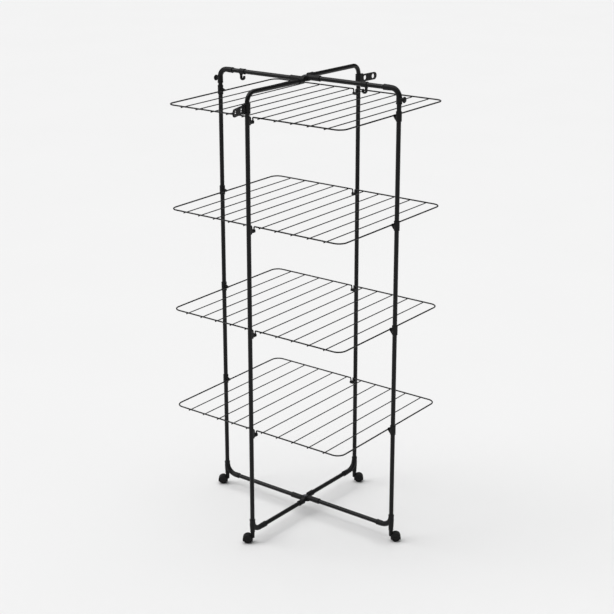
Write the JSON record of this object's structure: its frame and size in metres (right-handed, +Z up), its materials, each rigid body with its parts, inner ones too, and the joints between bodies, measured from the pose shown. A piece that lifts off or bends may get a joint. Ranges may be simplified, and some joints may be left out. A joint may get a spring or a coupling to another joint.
{
  "type": "tower clothes airer",
  "caption": "Free-standing tower clothes airer: two crossing tube frames with tilting wire shelves, coat hanger plates, rail hooks and swivel castors.",
  "frame": {"origin": "on the floor under the upright axis where the two frames cross, under the hub pins", "axes": "+Z up; +X along the wide frame towards its higher rail side; +Y along the narrow frame away from the front post"},
  "size_m": [0.8356, 0.8276, 1.6206],
  "materials": {
    "powder_coat": "satin black powder coat on steel tube and wire",
    "moulded_plastic": "matte black moulded plastic",
    "steel": "dark pin steel",
    "wheel_plastic": "black wheel plastic"
  },
  "bodies": {
    "frames": {"front_post_and_top_rail": "powder_coat", "front_hanger_clamp": "moulded_plastic", "front_hanger_pin": "steel", "rear_post_and_top_rail": "powder_coat", "rear_hanger_clamp": "moulded_plastic", "rear_hanger_pin": "steel", "left_post": "powder_coat", "left_top_rail": "powder_coat", "left_elbow": "moulded_plastic", "left_knob": "moulded_plastic", "left_rail_hook": "moulded_plastic", "right_post": "powder_coat", "right_top_rail": "powder_coat", "right_elbow": "moulded_plastic", "right_knob": "moulded_plastic", "right_rail_hook": "moulded_plastic", "front_bottom_rail": "powder_coat", "front_foot": "moulded_plastic", "rear_bottom_rail": "powder_coat", "rear_foot": "moulded_plastic", "left_bottom_rail": "powder_coat", "left_foot": "moulded_plastic", "right_bottom_rail": "powder_coat", "right_foot": "moulded_plastic", "top_hub_upper": "moulded_plastic", "top_hub_lower": "moulded_plastic", "top_hub_pin": "steel", "bottom_hub_upper": "moulded_plastic", "bottom_hub_lower": "moulded_plastic", "bottom_hub_pin": "steel", "shelf_1_front_saddle": "moulded_plastic", "shelf_1_rear_saddle": "moulded_plastic", "shelf_1_left_clip": "moulded_plastic", "shelf_1_right_clip": "moulded_plastic", "shelf_2_front_saddle": "moulded_plastic", "shelf_2_rear_saddle": "moulded_plastic", "shelf_2_left_clip": "moulded_plastic", "shelf_2_right_clip": "moulded_plastic", "shelf_3_front_saddle": "moulded_plastic", "shelf_3_rear_saddle": "moulded_plastic", "shelf_3_left_clip": "moulded_plastic", "shelf_3_right_clip": "moulded_plastic", "shelf_4_front_saddle": "moulded_plastic", "shelf_4_rear_saddle": "moulded_plastic", "shelf_4_left_clip": "moulded_plastic", "shelf_4_right_clip": "moulded_plastic"},
    "shelf_1": {"shelf_1": "powder_coat"},
    "shelf_2": {"shelf_2": "powder_coat"},
    "shelf_3": {"shelf_3": "powder_coat"},
    "shelf_4": {"shelf_4": "powder_coat"},
    "front_hanger_plate": {"front_hanger_plate": "moulded_plastic"},
    "rear_hanger_plate": {"rear_hanger_plate": "moulded_plastic"},
    "front_castor": {"front_castor_body": "moulded_plastic"},
    "front_wheels": {"front_castor_wheels": "wheel_plastic"},
    "rear_castor": {"rear_castor_body": "moulded_plastic"},
    "rear_wheels": {"rear_castor_wheels": "wheel_plastic"},
    "left_castor": {"left_castor_body": "moulded_plastic"},
    "left_wheels": {"left_castor_wheels": "wheel_plastic"},
    "right_castor": {"right_castor_body": "moulded_plastic"},
    "right_wheels": {"right_castor_wheels": "wheel_plastic"}
  },
  "joints": [
    {"name": "shelf_1_tilt", "type": "hinge", "parent": "frames", "child": "shelf_1", "pos_m": [0, 0.00021, 1.512], "axis": [0.0175, -0.9996, -0.0209], "range_deg": [0, 10]},
    {"name": "shelf_2_tilt", "type": "hinge", "parent": "frames", "child": "shelf_2", "pos_m": [0, 0.00021, 1.1471], "axis": [0.0175, -0.9996, -0.0209], "range_deg": [0, 70]},
    {"name": "shelf_3_tilt", "type": "hinge", "parent": "frames", "child": "shelf_3", "pos_m": [0, 0.00021, 0.7822], "axis": [0.0175, -0.9996, -0.0209], "range_deg": [0, 70]},
    {"name": "shelf_4_tilt", "type": "hinge", "parent": "frames", "child": "shelf_4", "pos_m": [0, 0.00021, 0.4173], "axis": [0.0175, -0.9996, -0.0209], "range_deg": [0, 70]},
    {"name": "front_hanger_plate_swing", "type": "hinge", "parent": "frames", "child": "front_hanger_plate", "pos_m": [0.00575, -0.32955, 1.5475], "axis": [0, 0, 1], "range_deg": [-102, 68]},
    {"name": "rear_hanger_plate_swing", "type": "hinge", "parent": "frames", "child": "rear_hanger_plate", "pos_m": [-0.00575, 0.32955, 1.5605], "axis": [0, 0, 1], "range_deg": [-82, 88]},
    {"name": "front_castor_swivel", "type": "hinge", "parent": "frames", "child": "front_castor", "pos_m": [0.00542, -0.31055, 0.0445], "axis": [0, 0, 1], "continuous": true},
    {"name": "front_wheel_spin", "type": "hinge", "parent": "front_castor", "child": "front_wheels", "pos_m": [-0.00803, -0.32095, 0.015], "axis": [0.6115, -0.7912, 0], "continuous": true},
    {"name": "rear_castor_swivel", "type": "hinge", "parent": "frames", "child": "rear_castor", "pos_m": [-0.00542, 0.31055, 0.0445], "axis": [0, 0, 1], "continuous": true},
    {"name": "rear_wheel_spin", "type": "hinge", "parent": "rear_castor", "child": "rear_wheels", "pos_m": [0.00803, 0.32095, 0.015], "axis": [-0.6115, 0.7912, 0], "continuous": true},
    {"name": "left_castor_swivel", "type": "hinge", "parent": "frames", "child": "left_castor", "pos_m": [-0.3818, 0, 0.0445], "axis": [0, 0, 1], "continuous": true},
    {"name": "left_wheel_spin", "type": "hinge", "parent": "left_castor", "child": "left_wheels", "pos_m": [-0.39525, -0.0104, 0.015], "axis": [0.6115, -0.7912, 0], "continuous": true},
    {"name": "right_castor_swivel", "type": "hinge", "parent": "frames", "child": "right_castor", "pos_m": [0.3818, 0, 0.0445], "axis": [0, 0, 1], "continuous": true},
    {"name": "right_wheel_spin", "type": "hinge", "parent": "right_castor", "child": "right_wheels", "pos_m": [0.39525, 0.0104, 0.015], "axis": [-0.6115, 0.7912, 0], "continuous": true}
  ]
}
